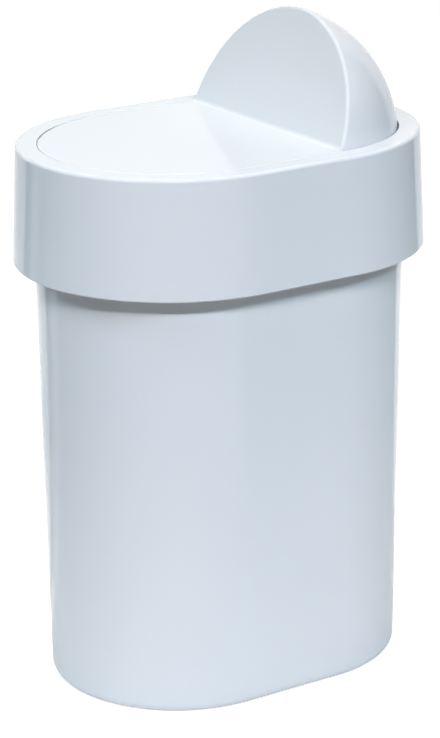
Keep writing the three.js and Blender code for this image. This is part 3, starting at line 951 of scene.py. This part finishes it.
def cut_ball(radius, face, edge):
    """A ball about the pivot, cut off by the half disc's plane, with a round edge where they meet."""
    lid = settings().lid
    edge_centre = face - edge
    edge_ring = math.sqrt((radius - edge) ** 2 - edge_centre ** 2)
    meeting = math.atan2(edge_centre, edge_ring)
    turns = [-math.pi / 2 + (meeting + math.pi / 2) * step / lid.ball_steps
             for step in range(1, lid.ball_steps)]
    profile = [(0.0, -radius)] + [(radius * math.cos(turn), radius * math.sin(turn)) for turn in turns]
    profile += arc(edge_ring, edge_centre, edge, math.degrees(meeting), 90) + [(0.0, face)]
    return spun(profile, lid.ball_rounds, disc_normal(), PIVOT)


def draw_in_edge(panel):
    """Draws the panel's edge in a little at the corners of its round end, and down to the dome's width."""
    lid, plan = settings().lid, settings().plan
    for vertex in panel.data.vertices:
        centre = math.copysign(plan.end_centre, vertex.co.x)
        spoke = Vector((vertex.co.x - centre, vertex.co.y))
        off = abs(math.atan2(abs(spoke.y), -spoke.x) - lid.corner_angle) / lid.corner_spread
        if centre > 0.0:
            inset = lid.radius - lid.dome_radius
        else:
            inset = lid.corner_ease * (1.0 + math.cos(math.pi * min(off, 1.0))) / 2
        if spoke.length > lid.radius / 2:
            spoke *= 1.0 - inset / spoke.length
            vertex.co.xy = spoke.x + centre, spoke.y
    return panel


def lid_panel():
    """The flat panel, up to the half disc's foot."""
    lid, collar = settings().lid, settings().collar
    top = collar.rim_plane
    panel = draw_in_edge(swept([
        (lid.radius, top - lid.panel_thickness),
        *arc(lid.radius - lid.panel_edge, top - lid.panel_edge, lid.panel_edge, 0, 90)]))
    return clip(panel, left_of(PIVOT.x - lid.disc_setback + OVERRUN))


def foot_fillet():
    """The hollow round between the panel's top and the half disc's foot."""
    lid, collar, plan = settings().lid, settings().collar, settings().plan
    lean, bend = lid.disc_lean, lid.foot_fillet
    tangent = bend / math.tan((math.pi / 2 + lean) / 2)
    steps = plan.fillet_steps * 2
    turns = [-math.pi / 2 + (math.pi / 2 - lean) * step / steps for step in range(steps + 1)]
    outline = [(OVERRUN, -OVERRUN), (-tangent, -OVERRUN)]
    outline += [(-tangent + bend * math.cos(turn), bend + bend * math.sin(turn)) for turn in turns]
    outline.append((tangent * math.sin(lean) + OVERRUN, tangent * math.cos(lean)))
    foot = PIVOT.x - lid.disc_setback
    strip = prism([(foot + x, collar.rim_plane + z) for x, z in outline], -REACH, REACH)
    half_rounds = lid.ball_rounds // 2
    side = [(lid.dome_radius * math.sin(turn), -lid.dome_radius * math.cos(turn))
            for turn in (math.pi * step / half_rounds for step in range(1, half_rounds))]
    ball = spun([(0.0, -lid.dome_radius), *side, (0.0, lid.dome_radius)], lid.ball_rounds,
                disc_normal(), PIVOT)
    return clip(strip, ball)


def weight_place(margin, bottom, top):
    """A block round the weight."""
    return block((WEIGHT_LOW.x - margin, WEIGHT_LOW.y - margin, bottom),
                 (WEIGHT_HIGH.x + margin, WEIGHT_HIGH.y + margin, top))


def liner_seats():
    """The ribs, posts and weight's walls under the panel, which carry the liner."""
    lid, pivot, plan, collar = settings().lid, settings().pivot, settings().plan, settings().collar
    underside = collar.rim_plane - lid.panel_thickness
    bottom, top = LINER_HIGH.z + plan.rest_gap, underside + OVERRUN
    edge = ring(lid.liner_radius, lid.liner_radius - lid.rib_wall, bottom, top)
    seats = [clip(edge, left_of(PIVOT.x - pivot.boss_radius - lid.rib_wall))]
    for place in RIB_PLACES:
        y = place * lid.liner_radius
        seats.append(block((WEIGHT_HIGH.x + plan.rest_gap, y - lid.rib_wall / 2, bottom),
                           (PIVOT.x - lid.disc_setback, y + lid.rib_wall / 2, top)))
    for along in POST_PLACES:
        for side in (-1, 1):
            centre = Vector((along * plan.end_centre, side * POST_SPREAD * lid.liner_radius, 0.0))
            seats.append(bar(lid.post_radius, bottom, top, POST_STEPS, Vector((0.0, 0.0, 1.0)), centre))
    walls = weight_place(plan.rest_gap + lid.rib_wall, bottom, top)
    seats.append(cut(walls, weight_place(plan.rest_gap, LINER_HIGH.z, underside)))
    return seats


def stop_lug(side):
    """The lug beside a pivot boss."""
    lid, pivot = settings().lid, settings().pivot
    outer = lid.dome_radius - pivot.stop_inset
    low, high = sorted((side * (outer - pivot.lug_thickness), side * outer))
    half = pivot.lug_width / 2
    lug = block((0.0, low, -half), (pivot.stop_length, high, half))
    turn = Matrix.Rotation(lid.disc_lean, 4, "Y")
    lug.data.transform(Matrix.Translation(PIVOT) @ turn)
    return lug


class TRASHCAN_OT_lid_shell(bpy.types.Operator):
    """Make the lid's outer skin: the flat panel, the leaning half disc and the dome"""

    bl_idname = "trashcan.lid_shell"
    bl_label = "Lid shell"

    def execute(self, context):
        lid, pivot, plan = settings().lid, settings().pivot, settings().plan
        material = shell_plastic()
        face = disc_distance()
        dome = clip(cut_ball(lid.dome_radius, face, lid.dome_edge),
                    block((-REACH, -REACH, LINER_LOW.z), (REACH, REACH, REACH)))
        made = join(lid_panel(), dome, foot_fillet())
        inside_edge = max(lid.dome_edge - lid.dome_wall, OVERRUN)
        cut(made, cut_ball(lid.dome_radius - lid.dome_wall, face - lid.dome_wall, inside_edge),
            slab(lid.liner_radius + plan.rest_gap, LINER_LOW.z - OVERRUN, LINER_HIGH.z + plan.rest_gap))
        boss_end = lid.dome_radius - pivot.boss_inset
        boss_start = boss_end - pivot.boss_length
        join(made, *liner_seats(), *[
            piece for side in (-1, 1)
            for piece in (pivot_bar(pivot.boss_radius, side * boss_start, side * boss_end), stop_lug(side))])
        for side in (-1, 1):
            cut(made,
                pivot_bar(pivot.pin_radius + plan.rest_gap, side * (boss_start - OVERRUN),
                          side * (lid.dome_radius + OVERRUN)),
                pivot_bar(pivot.head_radius + plan.rest_gap, side * (2 * pivot.pin_start - pivot.pin_end),
                          side * boss_start))
        dress(made, "lid_moulding", material, "swing_lid", ["lid_shell"])
        return {"FINISHED"}


class TRASHCAN_OT_lid_liner(bpy.types.Operator):
    """Make the satin plate that closes the lid from below"""

    bl_idname = "trashcan.lid_liner"
    bl_label = "Lid liner"

    def execute(self, context):
        lid, pivot, plan = settings().lid, settings().pivot, settings().plan
        soft = lid.liner_edge
        bottom, top = LINER_LOW.z, LINER_HIGH.z
        made = swept([
            *arc(lid.liner_radius - soft, bottom + soft, soft, -90, 0),
            *arc(lid.liner_radius - soft, top - soft, soft, 0, 90)])
        boss_clear = pivot.boss_radius + plan.rest_gap
        notch_inner = pivot.pin_start - plan.rest_gap
        lug_inner = lid.dome_radius - pivot.stop_inset - pivot.lug_thickness - plan.rest_gap
        lug_end = pivot.stop_length + pivot.lug_width / 2 + plan.rest_gap
        low, high = bottom - OVERRUN, top + OVERRUN
        notches = []
        for side in (-1, 1):
            for left, right, inner in ((-boss_clear, boss_clear, notch_inner), (0.0, lug_end, lug_inner)):
                near, far = sorted((side * inner, side * REACH))
                notches.append(block((PIVOT.x + left, near, low), (PIVOT.x + right, far, high)))
        cut(made, *notches)
        dress(made, "lid_closing_plate", liner_plastic(), "swing_lid", ["lid_liner"])
        return {"FINISHED"}


class TRASHCAN_OT_steel(bpy.types.Operator):
    """Make the two headed pivot pins and the weight that swings the lid shut"""

    bl_idname = "trashcan.steel"
    bl_label = "Pins and weight"

    def execute(self, context):
        pivot = settings().pivot
        material = bright_steel()
        start, end, bevel = pivot.pin_start, pivot.pin_end, pivot.chamfer
        shoulder = start + pivot.head_thickness
        profile = [
            (0.0, start), (pivot.head_radius - bevel, start), (pivot.head_radius, start + bevel),
            (pivot.head_radius, shoulder - bevel / 2), (pivot.head_radius - bevel / 2, shoulder),
            (pivot.pin_radius, shoulder), (pivot.pin_radius, end - bevel),
            (pivot.pin_radius - bevel, end), (0.0, end)]
        for side, name in ((-1, "pivot_pin_front"), (1, "pivot_pin_back")):
            made = spun([(radius, side * along) for radius, along in profile], BAR_STEPS, ALONG_Y, PIVOT)
            dress(made, f"{name}_turned", material, "swing_lid", [name])
        made = block(WEIGHT_LOW, WEIGHT_HIGH)
        round_off = made.modifiers.new("Deburred edges", "BEVEL")
        round_off.width = bevel
        round_off.segments = 3
        plain_mesh(made)
        dress(made, "lid_weight_strip", material, "swing_lid", ["lid_weight"])
        return {"FINISHED"}


# Studio

def toward(azimuth, elevation):
    """The direction at an azimuth from the front and an elevation above the floor, both in radians."""
    level = math.cos(elevation)
    return Vector((math.sin(azimuth) * level, -math.cos(azimuth) * level, math.sin(elevation)))


def soft_light(name, azimuth, elevation, width, height):
    """A softbox with a grid, turned to the middle of the can from an azimuth and elevation in degrees.

    Reflections and the camera leave it out, so that both see only the white surroundings.
    """
    studio = settings().studio
    light = bpy.data.lights.new(f"{name}_softbox", "AREA")
    light.shape = "RECTANGLE"
    light.size, light.size_y = width, height
    light.energy = getattr(studio, f"{name}_power")
    light.color = getattr(studio, f"{name}_tint")
    light.spread = studio.lamp_spread
    lamp = new_object(light.name, light)
    back = toward(math.radians(azimuth), math.radians(elevation))
    lamp.location = Vector((0.0, 0.0, CAD_BOX[1][2] / 2)) + back * studio.lamp_distance
    lamp.rotation_euler = back.to_track_quat("Z", "Y").to_euler()
    lamp.visible_camera = lamp.visible_glossy = False


def sector(shading, level, azimuth, half_angle, inside, outside):
    """One strength inside a sector of level directions, and another outside it."""
    edge = settings().studio.edge_angle
    lined_up = shading.vector_math("DOT_PRODUCT", level, toward(azimuth, 0.0)).outputs["Value"]
    return shading.ramp(lined_up, math.cos(half_angle + edge), math.cos(half_angle - edge), outside, inside)


def seen_white(shading, direction, also_in_front=False):
    """The white that rays find in a direction: all of it for the camera, a real room's share in gloss."""
    studio = settings().studio
    rays = shading.node("ShaderNodeLightPath").outputs
    flat = shading.vector_math("MULTIPLY", direction, (1.0, 1.0, 0.0)).outputs[0]
    level = shading.vector_math("NORMALIZE", flat).outputs[0]
    sheet = sector(shading, level, studio.sheet_azimuth, studio.sheet_half_angle,
                   studio.sheet_glow, studio.room_glow)
    if also_in_front:
        front = sector(shading, level, studio.sheet_azimuth + math.pi, studio.sheet_half_angle,
                       studio.front_glow, studio.room_glow)
        sheet = shading.math("MAXIMUM", sheet, front)
    strip = sector(shading, level, studio.strip_azimuth, studio.strip_half_angle, studio.strip_glow, 0.0)
    mirrored = shading.math("MAXIMUM", rays["Is Glossy Ray"], rays["Is Transmission Ray"])
    return shading.math("MAXIMUM", rays["Is Camera Ray"],
                        shading.math("MULTIPLY", mirrored, shading.math("ADD", sheet, strip)))


def studio_floor():
    studio = settings().studio
    half = studio.floor_size / 2
    points = [(-half, -half, 0.0), (half, -half, 0.0), (half, half, 0.0), (-half, half, 0.0)]
    floor = new_object("studio_floor", mesh_from(points, [(0, 1, 2, 3)]))
    material, shading = new_material("pale_floor", studio.floor_colour)
    plain = shading.node("ShaderNodeBsdfDiffuse", links={"Color": opaque(studio.floor_colour)})
    seen = seen_white(shading, shading.place(), also_in_front=True)
    spot = shading.vector_math("LENGTH", shading.place()).outputs["Value"]
    white = shading.ramp(spot, studio.glow_start, studio.glow_end, studio.near_glow, 1.0)
    glow = shading.node("ShaderNodeEmission", links={"Strength": shading.math("MULTIPLY", seen, white)})
    shading.paint(shading.node("ShaderNodeAddShader", links={0: plain.outputs[0], 1: glow.outputs[0]}))
    floor.data.materials.append(material)


def studio_world():
    studio = settings().studio
    world = bpy.data.worlds.new("studio")
    bpy.context.scene.world = world
    world.use_nodes = True
    world.node_tree.nodes.clear()
    shading = Shading(world.node_tree)
    seen = seen_white(shading, shading.node("ShaderNodeTexCoord").outputs["Generated"])
    white = shading.node("ShaderNodeBackground", links={"Color": opaque((1.0, 1.0, 1.0)), "Strength": seen})
    shading.node("ShaderNodeOutputWorld", links={"Surface": white.outputs[0]})


def studio_camera():
    studio = settings().studio
    back = toward(studio.camera_azimuth, studio.camera_elevation)
    data = bpy.data.cameras.new("camera")
    data.lens = studio.lens
    data.clip_end = CAMERA_REACH
    camera = new_object("camera", data)
    aim = (-back).to_track_quat("-Z", "Y").to_matrix().to_4x4()
    place = Vector(studio.camera_target) + back * studio.camera_distance
    camera.matrix_world = Matrix.Translation(place) @ aim @ Matrix.Rotation(studio.camera_roll, 4, "Z")
    bpy.context.scene.camera = camera


class TRASHCAN_OT_studio(bpy.types.Operator):
    """Make the floor, the soft lights, the white surroundings and the camera"""

    bl_idname = "trashcan.studio"
    bl_label = "Studio"

    def execute(self, context):
        studio_floor()
        studio_world()
        studio_camera()
        for name, place in SOFTBOXES.items():
            soft_light(name, *place)
        context.scene.view_settings.view_transform = "Standard"
        return {"FINISHED"}


# The sidebar and the run

class TRASHCAN_PT_sidebar(bpy.types.Panel):
    bl_idname = "TRASHCAN_PT_sidebar"
    bl_label = "Trash can"
    bl_space_type = "VIEW_3D"
    bl_region_type = "UI"
    bl_category = "Trash can"

    def draw(self, context):
        for operator in OPERATORS:
            self.layout.operator(operator.bl_idname)
        for part in ("bucket", "collar", "lid", "pivot", "finish", "studio"):
            group = getattr(context.scene.trash_can, part)
            box = self.layout.box()
            box.label(text=part.capitalize())
            for name in group.bl_rna.properties.keys():
                if name not in ("rna_type", "name"):
                    box.prop(group, name)


GROUPS = (PlanSettings, BucketSettings, CollarSettings, LidSettings, PivotSettings, FinishSettings,
          StudioSettings, TrashCanSettings)
OPERATORS = (TRASHCAN_OT_bucket, TRASHCAN_OT_collar, TRASHCAN_OT_lid_shell, TRASHCAN_OT_lid_liner,
             TRASHCAN_OT_steel, TRASHCAN_OT_studio)
CLASSES = (*GROUPS, *OPERATORS, TRASHCAN_PT_sidebar)


def register():
    for made in CLASSES:
        bpy.utils.register_class(made)
    bpy.types.Scene.trash_can = bpy.props.PointerProperty(type=TrashCanSettings)


def unregister():
    del bpy.types.Scene.trash_can
    for made in reversed(CLASSES):
        bpy.utils.unregister_class(made)


def main():
    register()
    bpy.ops.trashcan.bucket()
    bpy.ops.trashcan.collar()
    bpy.ops.trashcan.lid_shell()
    bpy.ops.trashcan.lid_liner()
    bpy.ops.trashcan.steel()
    bpy.ops.trashcan.studio()


if __name__ == "__main__":
    main()
